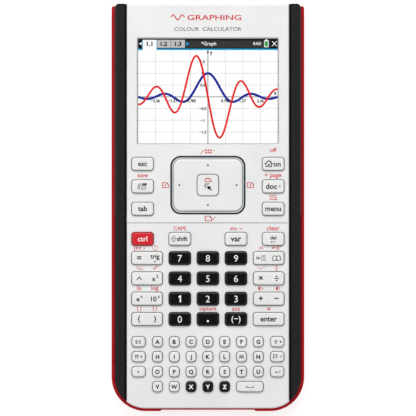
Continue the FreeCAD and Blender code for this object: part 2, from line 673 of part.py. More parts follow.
def touchpad_bracket(ridge_top):
    """Sheet bracket with pivot pins along X and a split ridge along Y that the pad rocks on."""
    base = prism(rectangle(0, PAD_Y, 31.5, 22.5, 2), BRACKET_Z, BRACKET_Z + BRACKET_THICKNESS)
    pieces = [base]
    ridge_z = ridge_top - RIDGE_R
    for side in (-1, 1):
        x = sorted(side * end for end in PIVOT_PIN_X)
        pieces.append(Part.makeCylinder(
            PIVOT_R, x[1] - x[0], Vector(x[0], PAD_Y, PIVOT_Z), Vector(1, 0, 0)))
        y = sorted(PAD_Y + side * end for end in RIDGE_Y)
        pieces.append(block((-RIDGE_R, RIDGE_R), y, (BRACKET_Z + 0.2, ridge_z)))
        pieces.append(Part.makeCylinder(
            RIDGE_R, y[1] - y[0], Vector(0, y[0], ridge_z), Vector(0, 1, 0)))
    return all_of(pieces).removeSplitter()


def keypad_membrane(keys):
    """Rubber sheet on the board with a collapsing dome under each key."""
    pieces = [prism(rectangle(0, -49.0, 71, 79, 6), BOARD_TOP_Z, SHEET_TOP_Z)]
    for side in (-1, 1):
        strip = rectangle(side * 30.2, 7.5, 10.6, 35, 1)
        pieces.append(prism(strip, BOARD_TOP_Z, SHEET_TOP_Z))
    for key in keys:
        low_r = DOME_R if key.height == KEY_HEIGHT else SMALL_DOME_R
        for x, y in dome_places(key):
            base = SHEET_TOP_Z - 0.1
            pieces.append(Part.makeCone(low_r, low_r - DOME_TAPER, FLANGE_Z - base, Vector(x, y, base)))
    holes = [pin(x, y, BOSS_R + 0.4, 0, FAR) for x, y in HOUSING_SCREWS]
    return all_of(pieces).cut(Part.makeCompound(holes)).removeSplitter()


def main_board():
    """Circuit board under the display and keypad."""
    board = prism(body_corners(BOARD_INSET, PLATE_HALF_WIDTH), BOARD_Z, BOARD_TOP_Z)
    board = board.common(prism(body_corners(BOARD_INSET), 0, FAR))
    holes = [pin(x, y, SHANK_R + 0.3, 0, FAR) for x, y in HOUSING_SCREWS]
    return board.cut(Part.makeCompound(holes))


def board_components():
    """Chips, battery connector and reset switch under the board, one solid each."""
    return Part.makeCompound([
        block((x - w / 2, x + w / 2), (y - h / 2, y + h / 2), (BOARD_Z - t, BOARD_Z))
        for x, y, w, h, t in COMPONENTS
    ])


def battery_pack():
    """Flat rechargeable pack."""
    low = BACK_Z + WALL + 0.2
    pack = prism(rectangle(0, BATTERY_Y, BATTERY_WIDTH, BATTERY_LENGTH, 2), low, low + BATTERY_THICKNESS)
    return pack.makeFillet(0.8, edges_at(pack, low) + edges_at(pack, low + BATTERY_THICKNESS))


def usb_socket():
    """Metal socket shell with a tongue, under the board at the display end."""
    front = BODY_TOP_Y - 0.6
    y = (front - USB_DEPTH, front)
    z = (BOARD_Z - USB_HEIGHT, BOARD_Z)
    x = USB_WIDTH / 2
    t = SHELL_THICKNESS
    shell = block((-x, x), y, z).cut(block((-x + t, x - t), (y[0] + 1, FAR), (z[0] + t, z[1] - t)))
    tongue = block((-x + 1.4, x - 1.4), (y[0] + 0.5, front - 1), (z[0] + 1.6, z[0] + 2.3))
    return shell.fuse(tongue).removeSplitter()


def dock_connector():
    """Contact strip under the board at the bottom end, recessed behind the back's opening."""
    y = (BODY_BOTTOM_Y + 0.9, BODY_BOTTOM_Y + 5)
    x = DOCK_WIDTH / 2
    strip = block((-x, x), y, (BOARD_Z - DOCK_HEIGHT, BOARD_Z))
    slots = [
        block((i * DOCK_PITCH - 0.6, i * DOCK_PITCH + 0.6), (y[0] - 1, y[0] + 0.5),
              (BOARD_Z - DOCK_HEIGHT + 0.5, BOARD_Z - 0.5))
        for i in range(-5, 6)
    ]
    return strip.cut(Part.makeCompound(slots))


def status_light():
    """Small light pipe beside the socket."""
    front = Vector(LIGHT_X, BODY_TOP_Y - 0.1, LIGHT_Z)
    return Part.makeCylinder(LIGHT_R, 6, front, Vector(0, -1, 0))


def reset_button():
    """Recessed button through the back, over a switch on the board."""
    stem = pin(RESET_X, RESET_Y, RESET_R, BACK_Z + 0.4, BOARD_Z - 2.7)
    return stem.fuse(pin(RESET_X, RESET_Y, RESET_R + 0.8, BACK_Z + WALL + 0.1, BACK_Z + WALL + 0.9))


def main():
    """Build and write every node."""
    os.makedirs("parts", exist_ok=True)
    keys = main_keys()
    letters = letter_keys()
    every_key = keys + [key for group in letters.values() for key in group]
    made = {
        "front_housing": front_housing(every_key),
        "left_side_rail": side_rail(-1),
        "right_side_rail": side_rail(1),
        "rear_housing": rear_housing(),
        "slide_case": slide_case(),
        "touchpad_trim_ring": trim_ring(),
        "keypad_membrane": keypad_membrane(every_key),
        "main_board": main_board(),
        "board_components": board_components(),
        "battery_pack": battery_pack(),
        "battery_cover": battery_cover(),
        "housing_screws": screws(),
        "rear_feet": rear_feet(),
        "usb_socket": usb_socket(),
        "dock_connector": dock_connector(),
        "status_light": status_light(),
        "reset_button": reset_button(),
    }
    made.update(display_parts())
    made.update(touchpad_parts())
    made.update({key.name: key_shape(key) for key in keys})
    for name, group in letters.items():
        made[name] = Part.makeCompound([key_shape(key) for key in group])
    for name, shape in made.items():
        save(shape, name)


main()
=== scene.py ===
"""Looks for the graphing calculator and its slide-on case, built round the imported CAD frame.

Metres throughout, except that Drawing and the layouts fed to it are in millimetres.
"""

import json
from math import cos, pi, radians, sin, sqrt

import bpy
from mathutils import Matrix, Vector

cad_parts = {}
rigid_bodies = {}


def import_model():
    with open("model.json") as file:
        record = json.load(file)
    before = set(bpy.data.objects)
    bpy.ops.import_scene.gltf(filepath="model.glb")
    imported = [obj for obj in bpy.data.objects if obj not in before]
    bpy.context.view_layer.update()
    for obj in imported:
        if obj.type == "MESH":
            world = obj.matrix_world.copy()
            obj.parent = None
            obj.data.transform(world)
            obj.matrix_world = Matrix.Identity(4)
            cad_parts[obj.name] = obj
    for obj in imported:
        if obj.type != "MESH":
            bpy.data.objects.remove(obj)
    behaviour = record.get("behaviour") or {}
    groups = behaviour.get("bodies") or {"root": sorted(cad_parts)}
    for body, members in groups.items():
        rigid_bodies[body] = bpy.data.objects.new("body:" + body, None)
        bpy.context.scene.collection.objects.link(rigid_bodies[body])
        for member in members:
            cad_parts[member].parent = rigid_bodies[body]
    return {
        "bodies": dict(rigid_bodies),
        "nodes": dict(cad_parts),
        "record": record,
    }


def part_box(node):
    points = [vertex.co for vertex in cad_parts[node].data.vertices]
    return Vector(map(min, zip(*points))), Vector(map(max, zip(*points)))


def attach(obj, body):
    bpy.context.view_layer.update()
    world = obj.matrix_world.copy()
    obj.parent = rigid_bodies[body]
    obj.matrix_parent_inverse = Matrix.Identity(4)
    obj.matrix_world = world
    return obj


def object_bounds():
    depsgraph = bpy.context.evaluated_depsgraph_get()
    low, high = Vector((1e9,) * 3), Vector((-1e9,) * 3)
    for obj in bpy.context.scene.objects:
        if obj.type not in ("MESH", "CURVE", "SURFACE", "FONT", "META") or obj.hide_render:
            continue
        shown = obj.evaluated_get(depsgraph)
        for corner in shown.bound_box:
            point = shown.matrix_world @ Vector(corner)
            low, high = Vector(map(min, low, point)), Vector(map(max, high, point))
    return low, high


MM = 0.001

# What the legends lie on.
CROWN_RADIUS = 110.0
INK_LIFT = 0.01
INK_DEPTH = 0.05
LETTER_PITCH = 7.82
END_KEY_INSET = 3.55
ROCKER_HALF = 3.65

# Lettering. A capital is CAPITAL times the font size, and a weight widens or narrows the strokes.
CAPITAL = 0.73
LOWERCASE_DROP = 0.3
DIGIT_SIZE = 4.5
SHIFT_SIZE = 2.85
LETTER_SIZE = 2.6
DIGIT_WEIGHT = -0.004
WORD_WEIGHT = 0.025
SHIFT_WEIGHT = 0.016
LETTER_WEIGHT = 0.04
SCREEN_WEIGHT = 0.045

# Header over the display.
HEADER_Y = 88.6
TITLE_X = 3.0
TITLE_SIZE = 3.4
TITLE_STRETCH = 1.5
TITLE_WEIGHT = 0.012
SUBTITLE_DROP = 5.4
SUBTITLE_SIZE = 2.5
SUBTITLE_STRETCH = 1.12
SUBTITLE_WEIGHT = 0.004
SQUIGGLE_LEFT = -17.2
SQUIGGLE_STEP = 0.42
SQUIGGLE_HEIGHT = 1.2
SQUIGGLE_POINTS = 16
SQUIGGLE_TURN = 0.63
SQUIGGLE_LINE = 0.5

# Display: the active area, the bar along its top, and what one unit of the graph measures.
ACTIVE_WIDTH = 65.0
ACTIVE_HEIGHT = 48.8
BAR_HEIGHT = 4.6
BAR_LINE = 0.7
UNIT_X = 10.37
UNIT_Y = 10.94
GRID_STEP_X = pi / 4
GRID_STEP_Y = 0.5
LAYER = 0.015

# Display: widths of lines, labels from their axis, tabs from the left, title and battery from the middle.
GRID_LINE = 0.42
AXIS_LINE = 0.62
THICK_CURVE = 1.12
THIN_CURVE = 0.92
CURVE_STEPS = 260
LABEL_SIZE = 1.9
LABEL_DROP = 1.85
LABEL_LEFT = 2.4
TAB_X = 5.35
TAB_WIDTH = 6.4
NEXT_TAB_X = 12.0
TAB_STEP = 6.6
NUMBER_STEP = 6.65
TITLE_BAR_X = 9.3
TITLE_BAR_WIDTH = 39.6
BATTERY_X = 27.25
# Width of the display's mask round the active area, which glows grey as painted shade of the opening's
# walls.
RIM = 0.4

# Light. The sky is dim straight up, so that black surfaces seen from above stay black.
SKY_RIM = 0.18
SKY_LOW = 0.38
SKY_SIDES = 1.0
SKY_TOP = 0.02
SKY_STRENGTH = 1.28
FLOOR_GLOW = 0.62

# Floor, just under the case so that the two don't share a plane, and the lights.
FLOOR_DROP = 0.0001
FLOOR_SIZE = 6.0
KEY_LIGHT = {"place": (0.0, 0.8, 0.8), "size": (1.0, 0.35), "power": 8.0}
FILL_LIGHT = {"place": (-0.75, 0.1, 0.75), "size": (0.5, 0.8), "power": 1.5}

# Camera, straight above the middle: the frame spans this width at the height of the face.
FRAME_WIDTH = 0.19365
CAMERA_DISTANCE = 2.0
CAMERA_SHIFT = (0.00005, -0.00016)
SENSOR = 36.0

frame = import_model()
kept = set(frame["nodes"].values()) | set(frame["bodies"].values())
for stray in [o for o in bpy.data.objects if o not in kept]:
    bpy.data.objects.remove(stray)
cad_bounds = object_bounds()


def middle(node):
    """Centre and top of a CAD node, in millimetres."""
    low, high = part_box(node)
    return (low.x + high.x) / 2 / MM, (low.y + high.y) / 2 / MM, high.z / MM


FACE_Z = middle("front_housing")[2]
DISPLAY_X, _, DISPLAY_Z = middle("display_module")
DISPLAY_Y = middle("display_window")[1]
PAD_X, PAD_Y, PAD_Z = middle("touchpad_plate")


# Materials ----------------------------------------------------------------------------------------

def node_material(name):
    """A new material, with its node tree and its shader."""
    material = bpy.data.materials.new(name)
    material.use_nodes = True
    tree = material.node_tree
    return material, tree, tree.nodes["Principled BSDF"]


def add(tree, kind, **inputs):
    """A node with its sockets set, where spaces in socket names are written as underscores."""
    made = tree.nodes.new(kind)
    for key, value in inputs.items():
        made.inputs[key.replace("_", " ")].default_value = value
    return made


def noise(tree, scale, detail, stretch=(1, 1, 1)):
    """Noise over the object's own coordinates, at so many features a metre."""
    place = tree.nodes.new("ShaderNodeTexCoord")
    turn = tree.nodes.new("ShaderNodeMapping")
    turn.inputs["Scale"].default_value = stretch
    made = add(tree, "ShaderNodeTexNoise", Scale=scale, Detail=detail)
    tree.links.new(place.outputs["Object"], turn.inputs["Vector"])
    tree.links.new(turn.outputs["Vector"], made.inputs["Vector"])
    return made.outputs["Fac"]


def ramp(tree, source, low, high):
    """Noise turned into a value or a colour between two ends."""
    made = tree.nodes.new("ShaderNodeValToRGB")
    made.color_ramp.elements[0].position = 0.3
    made.color_ramp.elements[1].position = 0.7
    for element, value in zip(made.color_ramp.elements, (low, high)):
        element.color = (*value, 1) if isinstance(value, tuple) else (value, value, value, 1)
    tree.links.new(source, made.inputs["Fac"])
    return made.outputs["Color"]


def shade(color, amount):
    """A colour made lighter or darker by a factor."""
    return tuple(min(1.0, c * amount) for c in color)


def bump(tree, shader, source, distance, strength):
    """Relief from a height."""
    made = add(tree, "ShaderNodeBump", Strength=strength, Distance=distance)
    tree.links.new(source, made.inputs["Height"])
    tree.links.new(made.outputs["Normal"], shader.inputs["Normal"])


def plastic(name, color, roughness, grain=2600.0, relief=0.25, mottle=0.03, specular=0.5):
    """Moulded plastic: slight mottle, uneven gloss and a fine spark-eroded grain."""
    material, tree, shader = node_material(name)
    shader.inputs["Specular IOR Level"].default_value = specular
    cloud = noise(tree, 60.0, 4.0)
    tree.links.new(ramp(tree, cloud, shade(color, 1 - mottle), shade(color, 1 + mottle)),
                   shader.inputs["Base Color"])
    fine = noise(tree, grain, 2.0)
    tree.links.new(ramp(tree, fine, roughness * 0.88, roughness * 1.12), shader.inputs["Roughness"])
    bump(tree, shader, fine, 0.00002, relief)
    return material


def rubber(name, color):
    """Matt rubber with a coarser, softer grain."""
    return plastic(name, color, 0.8, grain=1500.0, relief=0.5, mottle=0.1, specular=0.25)


def metal(name, color, roughness):
    """Plated or brushed metal with fine streaks."""
    material, tree, shader = node_material(name)
    shader.inputs["Metallic"].default_value = 1.0
    streaks = noise(tree, 900.0, 3.0, (1, 12, 1))
    tree.links.new(ramp(tree, streaks, shade(color, 0.9), shade(color, 1.08)),
                   shader.inputs["Base Color"])
    tree.links.new(ramp(tree, streaks, roughness * 0.8, roughness * 1.3), shader.inputs["Roughness"])
    bump(tree, shader, streaks, 0.00001, 0.2)
    return material


def clear(name, color, roughness):
    """Clear moulding, slightly hazy."""
    material, tree, shader = node_material(name)
    shader.inputs["Base Color"].default_value = (*color, 1)
    shader.inputs["Transmission Weight"].default_value = 1.0
    shader.inputs["IOR"].default_value = 1.45
    haze = noise(tree, 200.0, 2.0)
    tree.links.new(ramp(tree, haze, roughness, roughness + 0.01), shader.inputs["Roughness"])
    return material


def lit(name, color):
    """A lit part of the display, with the faint grid of its dots."""
    material, tree, shader = node_material(name)
    shader.inputs["Base Color"].default_value = (*shade(color, 0.15), 1)
    shader.inputs["Roughness"].default_value = 0.5
    shader.inputs["Specular IOR Level"].default_value = 0.2
    dots = noise(tree, 2500.0, 0.0)
    tree.links.new(ramp(tree, dots, shade(color, 0.985), color), shader.inputs["Emission Color"])
    shader.inputs["Emission Strength"].default_value = 1.0
    return material


def ink(name, color):
    """Printed ink: slightly uneven cover."""
    return plastic(name, color, 0.45, grain=4000.0, relief=0.1, mottle=0.06, specular=0.15)


WHITE = (0.655, 0.655, 0.655)
KEY_WHITE = (0.66, 0.66, 0.655)
INK_BLACK = (0.004, 0.004, 0.005)
INK_WHITE = (0.80, 0.80, 0.80)
INK_RED = (0.50, 0.012, 0.02)
SLATE = (0.006, 0.021, 0.033)
RED = (0.42, 0.003, 0.007)
RAIL = (0.0125, 0.0125, 0.0135)
BLACK = (0.0015, 0.0015, 0.0022)

materials = {
    "white_housing": plastic("white_housing", WHITE, 0.5, specular=0.3),
    "dark_rail": plastic("dark_rail", RAIL, 0.5, grain=1800.0, relief=0.3, specular=0.1),
    "dark_housing": plastic("dark_housing", (0.012, 0.012, 0.013), 0.55, grain=1500.0, relief=0.6),
    "red_case": plastic("red_case", RED, 0.42, grain=1700.0, relief=0.3, specular=0.25),
    "window": clear("window", (1, 1, 1), 0.0),
    "foam": rubber("foam", (0.02, 0.02, 0.02)),
    "display": plastic("display", (0.05, 0.052, 0.055), 0.4),
    "trim_ring": plastic("trim_ring", SLATE, 0.3, relief=0.1),
    "light_key": plastic("light_key", KEY_WHITE, 0.4, relief=0.2),
    "black_key": plastic("black_key", BLACK, 0.3, relief=0.2, specular=0.35),
    "red_key": plastic("red_key", (0.52, 0.008, 0.014), 0.38, relief=0.2),
    "steel": metal("steel", (0.58, 0.58, 0.57), 0.28),
    "board": plastic("board", (0.01, 0.12, 0.045), 0.35, grain=900.0, relief=0.4, mottle=0.2),
    "membrane": rubber("membrane", (0.4, 0.4, 0.4)),
    "chip": plastic("chip", (0.015, 0.015, 0.016), 0.5, grain=1200.0, relief=0.4),
    "battery": plastic("battery", (0.08, 0.08, 0.1), 0.3, relief=0.1, mottle=0.15),
    "foot": rubber("foot", (0.02, 0.02, 0.02)),
    "light_pipe": clear("light_pipe", (0.8, 0.9, 0.8), 0.15),
    "ink_black": ink("ink_black", INK_BLACK),
    "ink_white": ink("ink_white", INK_WHITE),
    "ink_red": ink("ink_red", INK_RED),
    "ink_slate": ink("ink_slate", (0.016, 0.05, 0.075)),
    "ink_grey": ink("ink_grey", (0.07, 0.07, 0.072)),
}

for part in frame["record"]["subparts"]:
    dressed = frame["nodes"][part["node"]]
    for place in dressed.material_slots:
        place.material = materials[part["material_slot"]]


# Thin raised shapes -------------------------------------------------------------------------------

class Drawing:
    """Flat shapes gathered in millimetres, then made into one thin closed piece on a surface."""

    def __init__(self):
        self.points = []
        self.faces = []

    def shape(self, points, faces):
        """Points with the faces between them."""
        start = len(self.points)
        self.points += [tuple(p) for p in points]
        self.faces += [[start + i for i in face] for face in faces]

    def polygon(self, *points):
        """One face, turned anticlockwise."""
        turn = sum(a[0] * b[1] - b[0] * a[1] for a, b in zip(points, points[1:] + points[:1]))
        ring = points if turn > 0 else points[::-1]
        self.shape(ring, [range(len(ring))])

    def box(self, x, y, width, height):
        """Rectangle round a centre."""
        w, h = width / 2, height / 2
        self.polygon((x - w, y - h), (x + w, y - h), (x + w, y + h), (x - w, y + h))

    def line(self, points, width, closed=False):
        """Ribbon along points, mitred at its corners."""
        left, right = [], []
        count = len(points)
        for i, (x, y) in enumerate(points):
            before = points[i - 1] if i or closed else None
            after = points[(i + 1) % count] if i < count - 1 or closed else None
            a = (Vector((x, y)) - Vector(before)).normalized() if before else None
            b = (Vector(after) - Vector((x, y))).normalized() if after else None
            a, b = a or b, b or a
            normal = Vector((-(a.y + b.y), a.x + b.x)).normalized()
            reach = width / 2 / max(normal.dot(Vector((-a.y, a.x))), 0.35)
            left.append((x + normal.x * reach, y + normal.y * reach))
            right.append((x - normal.x * reach, y - normal.y * reach))
        last = count if closed else count - 1
        faces = [[count + i, count + (i + 1) % count, (i + 1) % count, i] for i in range(last)]
        self.shape(left + right, faces)

    def disc(self, x, y, radius, sides=20):
        """Filled circle."""
        self.polygon(*[(x + radius * cos(2 * pi * i / sides), y + radius * sin(2 * pi * i / sides))
                       for i in range(sides)])

    def ring(self, x, y, radius, width, sides=24):
        """Circle drawn as a ribbon."""
        angles = [2 * pi * i / sides for i in range(sides)]
        self.line([(x + radius * cos(a), y + radius * sin(a)) for a in angles], width, True)

    def text(self, words, x, y, size, stretch=1.0, weight=0.0, drop=CAPITAL / 2):
        """Words centred on x, with their baseline at drop times the size below y."""
        curve = bpy.data.curves.new("words", "FONT")
        curve.body = words
        curve.size = 1.0
        curve.resolution_u = 3
        curve.offset = weight
        holder = bpy.data.objects.new("words", curve)
        bpy.context.scene.collection.objects.link(holder)
        bpy.context.view_layer.update()
        scene_state = bpy.context.evaluated_depsgraph_get()
        mesh = bpy.data.meshes.new_from_object(holder.evaluated_get(scene_state))
        xs = [v.co.x for v in mesh.vertices]
        centre = (min(xs) + max(xs)) / 2
        points = [(x + (v.co.x - centre) * size * stretch, y + (v.co.y - drop) * size)
                  for v in mesh.vertices]
        faces = []
        for face in mesh.polygons:
            ring = list(face.vertices)
            faces.append(ring if face.normal.z > 0 else ring[::-1])
        self.shape(points, faces)
        bpy.data.objects.remove(holder)
        bpy.data.curves.remove(curve)
        bpy.data.meshes.remove(mesh)

    def build(self, name, body, material, surface, lift=INK_LIFT, depth=INK_DEPTH):
        """One closed piece whose top follows surface(x, y), riding on a body."""
        count = len(self.points)
        heights = [surface(x, y) + lift for x, y in self.points]
        top = [(x * MM, y * MM, z * MM) for (x, y), z in zip(self.points, heights)]
        bottom = [(x * MM, y * MM, (z - depth) * MM) for (x, y), z in zip(self.points, heights)]
        edges = dict.fromkeys(pair for face in self.faces for pair in zip(face, face[1:] + face[:1]))
        faces = self.faces + [[i + count for i in face[::-1]] for face in self.faces]
        faces += [[b, a, a + count, b + count] for a, b in edges if (b, a) not in edges]
        mesh = bpy.data.meshes.new(name)
        mesh.from_pydata(top + bottom, [], faces)
        mesh.validate()
        mesh.materials.append(materials[material])
        piece = bpy.data.objects.new(name, mesh)
        bpy.context.scene.collection.objects.link(piece)
        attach(piece, body)


def flat(z):
    """A level surface."""
    return lambda x, y: z


def crowned(node, x=None):
    """The crowned top of a key, or of the key at x in a row of keys."""
    middle_x, middle_y, top = middle(node)
    key_x = middle_x if x is None else x

    def height(px, py):
        rise = sqrt(CROWN_RADIUS ** 2 - (px - key_x) ** 2 - (py - middle_y) ** 2)
        return top - CROWN_RADIUS + rise
    return height


# Legends on the keys ------------------------------------------------------------------------------

def key_legend(node, material, draw):
    """Legend on one key: draw(drawing, x, y) puts it round the key's centre."""
    x, y, _ = middle(node)
    drawing = Drawing()
    draw(drawing, x, y)
    drawing.build(node.replace("_key", "") + "_legend", node, material, crowned(node))


def word(words, size, dx=0.0, dy=0.0, weight=WORD_WEIGHT, drop=LOWERCASE_DROP):
    """A drawing function for plain lettering."""
    return lambda d, x, y: d.text(words, x + dx, y + dy, size, 1.0, weight, drop)


def plain_letter(letter):
    """A capital on a letter key."""
    return word(letter, LETTER_SIZE, weight=LETTER_WEIGHT, drop=CAPITAL / 2)


def small_capital(letter, dx):
    """A small capital beside another."""
    return word(letter, 2.1, dx, drop=CAPITAL / 2)


def together(*parts):
    """Several drawing functions as one."""
    def draw(d, x, y):
        for part in parts:
            part(d, x, y)
    return draw


def small_arrow(dx, dy, size, turn=0.0):
    """Solid triangle pointing along +X, turned by some degrees."""
    corners = [(size * 0.7, 0), (-size * 0.5, size * 0.75), (-size * 0.5, -size * 0.75)]
    c, s = cos(radians(turn)), sin(radians(turn))

    def draw(d, x, y):
        d.polygon(*[(x + dx + px * c - py * s, y + dy + px * s + py * c) for px, py in corners])
    return draw


def scratchpad_icon(d, x, y):
    """Leaning pad with ruled lines, and the edges of the sheets behind it."""
    lean = 0.28

    def slanted(points, dx):
        return [(x + dx + px + py * lean, y + py) for px, py in points]

    d.line(slanted([(-0.95, -1.35), (0.95, -1.35), (0.95, 1.35), (-0.95, 1.35)], 0.6), 0.26, True)
    d.polygon(*slanted([(-0.9, 0.35), (0.9, 0.35), (0.9, 1.3), (-0.9, 1.3)], 0.6))
    for height in (-0.8, -0.2):
        d.line(slanted([(-0.55, height), (0.6, height)], 0.6), 0.2)
    for step in range(3):
        d.line(slanted([(-1.1, -1.35), (-1.1, 1.35)], -0.1 - step * 0.42), 0.22)


def home_icon(dx):
    """House outline with a round door."""
    def draw(d, x, y):
        cx = x + dx
        d.line([(cx - 1.9, y - 0.05), (cx, y + 1.55), (cx + 1.9, y - 0.05)], 0.4)
        d.line([(cx - 1.25, y + 0.35), (cx - 1.25, y - 1.25),
                (cx + 1.25, y - 1.25), (cx + 1.25, y + 0.35)], 0.38)
        d.line([(cx + 0.95, y + 0.8), (cx + 0.95, y + 1.5)], 0.35)
        d.disc(cx, y - 0.35, 0.45)
    return draw


def shift_icon(dx):
    """Outlined upward arrow."""
    def draw(d, x, y):
        outline = [(0, 1.35), (1.05, 0.2), (0.5, 0.2), (0.5, -1.1), (-0.5, -1.1), (-0.5, 0.2), (-1.05, 0.2)]
        d.line([(x + dx + px, y + py) for px, py in outline], 0.24, True)
    return draw


def delete_icon(d, x, y):
    """Word over a backwards arrow."""
    d.text("del", x, y + 0.5, 2.5, 1.0, WORD_WEIGHT, LOWERCASE_DROP)
    d.line([(x - 0.5, y - 1.35), (x + 1.2, y - 1.35)], 0.25)
    small_arrow(-0.85, -1.35, 0.65, 180)(d, x, y)


def template_icon(dx):
    """Bar, box and stack of the expression templates."""
    def draw(d, x, y):
        cx = x + dx
        d.line([(cx - 2.0, y - 0.7), (cx - 2.0, y + 0.8)], 0.22)
        d.box(cx - 1.25, y, 0.8, 0.8)
        d.line([(cx - 0.5, y - 0.7), (cx - 0.5, y + 0.8)], 0.22)
        d.line([(cx + 0.85, y + 1.35), (cx + 0.45, y + 1.1), (cx + 0.45, y + 0.25), (cx + 0.15, y),
                (cx + 0.45, y - 0.25), (cx + 0.45, y - 1.1), (cx + 0.85, y - 1.35)], 0.22)
        for side in (-1, 1):
            d.line([(cx + 1.2, y + side * 0.75 - 0.4), (cx + 2.0, y + side * 0.75 - 0.4),
                    (cx + 2.0, y + side * 0.75 + 0.4), (cx + 1.2, y + side * 0.75 + 0.4)], 0.22, True)
    return draw


def book_icon(dx):
    """Open book."""
    def draw(d, x, y):
        cx = x + dx
        for side in (-1, 1):
            page = [(0.0, -1.0), (1.9, -1.0), (1.9, 0.15), (1.35, 1.05), (0.55, 1.05), (0.0, 0.55)]
            d.line([(cx + side * px, y + py) for px, py in page], 0.3, True)
        d.disc(cx, y - 0.9, 0.35)
    return draw


def power_icon(dx):
    """Chevron for raising to a power."""
    def draw(d, x, y):
        d.line([(x + dx - 1.1, y - 0.7), (x + dx, y + 0.7), (x + dx + 1.1, y - 0.7)], 0.42)
    return draw


def raised(base, power, dx):
    """A base with a small raised power."""
    def draw(d, x, y):
        reach = 0.62 * len(base)
        d.text(base, x + dx - 0.55, y - 0.25, 3.2, 1.0, WORD_WEIGHT, LOWERCASE_DROP)
        d.text(power, x + dx + reach + 0.5, y + 1.05, 2.25, 1.0, WORD_WEIGHT * 0.6, LOWERCASE_DROP)
    return draw


def divide_icon(dx):
    """Division sign."""
    def draw(d, x, y):
        d.box(x + dx, y, 2.1, 0.42)
        for side in (-1, 1):
            d.disc(x + dx, y + side * 0.95, 0.36)
    return draw


def flag_icon(d, x, y):
    """Small flag and arrow."""
    d.line([(x - 1.9, y - 1.1), (x - 1.9, y + 0.95), (x - 0.1, y + 0.95), (x - 0.5, y + 0.35),
            (x - 0.1, y - 0.2), (x - 1.9, y - 0.2)], 0.26)
    small_arrow(1.6, 0.0, 0.6)(d, x, y)


def return_icon(d, x, y):
    """Return arrow."""
    d.line([(x + 1.15, y + 0.85), (x + 1.15, y - 0.2), (x - 0.6, y - 0.2)], 0.24)
    small_arrow(-0.8, -0.2, 0.7, 180)(d, x, y)


def pi_icon(dx):
    """Greek letter pi."""
    def draw(d, x, y):
        cx = x + dx
        d.line([(cx - 0.95, y + 0.6), (cx + 0.95, y + 0.6)], 0.36)
        d.line([(cx - 0.42, y + 0.6), (cx - 0.42, y - 0.2), (cx - 0.6, y - 0.85)], 0.34)
        d.line([(cx + 0.42, y + 0.6), (cx + 0.42, y - 0.5), (cx + 0.7, y - 0.8)], 0.34)
    return draw


def letter_m(d, x, y):
    """Capital M, drawn as one stroke."""
    d.line([(x - 0.85, y - 0.91), (x - 0.66, y + 0.75), (x, y - 0.6),
            (x + 0.66, y + 0.75), (x + 0.85, y - 0.91)], 0.4)


def space_icon(d, x, y):
    """Open bracket lying on its back."""
    d.line([(x - 1.6, y + 0.45), (x - 1.6, y - 0.35), (x + 1.6, y - 0.35), (x + 1.6, y + 0.45)], 0.3)


def digit_one(d, x, y):
    """Figure 1 with a flag."""
    low, high = y - DIGIT_SIZE * CAPITAL / 2, y + DIGIT_SIZE * CAPITAL / 2
    d.polygon((x - 0.05, low), (x + 0.58, low), (x + 0.58, high), (x + 0.1, high),
              (x - 0.75, high - 0.75), (x - 0.5, high - 1.25), (x - 0.05, high - 0.9))


LEFT, RIGHT = -ROCKER_HALF, ROCKER_HALF
DARK_LEGENDS = {
    "escape_key": word("esc", 3.3),
    "scratchpad_key": scratchpad_icon,
    "tab_key": word("tab", 3.4),
    "home_key": together(home_icon(-2.1), word("on", 3.4, 1.75, -0.15)),
    "document_key": together(word("doc", 3.5, -0.85, -0.1), small_arrow(3.1, 0.0, 0.7)),
    "menu_key": word("menu", 3.4),
    "shift_key": together(shift_icon(-2.8), word("shift", 2.95, 1.1, -0.05)),
    "variable_key": word("var", 3.75),
    "delete_key": delete_icon,
    "equals_trig_key": together(word("=", 3.9, LEFT), word("trig", 3.05, RIGHT, 0.7),
                                small_arrow(RIGHT, -1.65, 0.7, -90)),
    "power_square_key": together(power_icon(LEFT), raised("x", "2", RIGHT)),
    "exponential_key": together(raised("e", "x", LEFT), raised("10", "x", RIGHT)),
    "bracket_key": together(word("(", 3.4, LEFT, 0.2), word(")", 3.4, RIGHT, 0.2)),
    "template_catalog_key": together(template_icon(LEFT), book_icon(RIGHT)),
    "multiply_divide_key": together(word("×", 4.0, LEFT), divide_icon(RIGHT)),
    "plus_minus_key": together(word("+", 4.0, LEFT), word("−", 4.0, RIGHT)),
    "enter_key": word("enter", 3.5),
    "space_key": space_icon,
}
DIGITS = ("zero", "one", "two", "three", "four", "five", "six", "seven", "eight", "nine")


def key_legends():
    """Dark legends on the light keys, and light ones on the control and number keys."""
    for node, draw in DARK_LEGENDS.items():
        key_legend(node, "ink_grey" if node == "scratchpad_key" else "ink_black", draw)
    for number, name in enumerate(DIGITS):
        digit = word(str(number), DIGIT_SIZE, weight=DIGIT_WEIGHT, drop=CAPITAL / 2)
        key_legend(name + "_key", "ink_white", digit_one if number == 1 else digit)
    key_legend("control_key", "ink_white", word("ctrl", 3.4, weight=0.006, drop=0.33))
    key_legend("point_key", "ink_white", lambda d, x, y: d.disc(x, y - 0.9, 0.5))
    key_legend("negate_key", "ink_white", word("(−)", 3.8, weight=0.004))


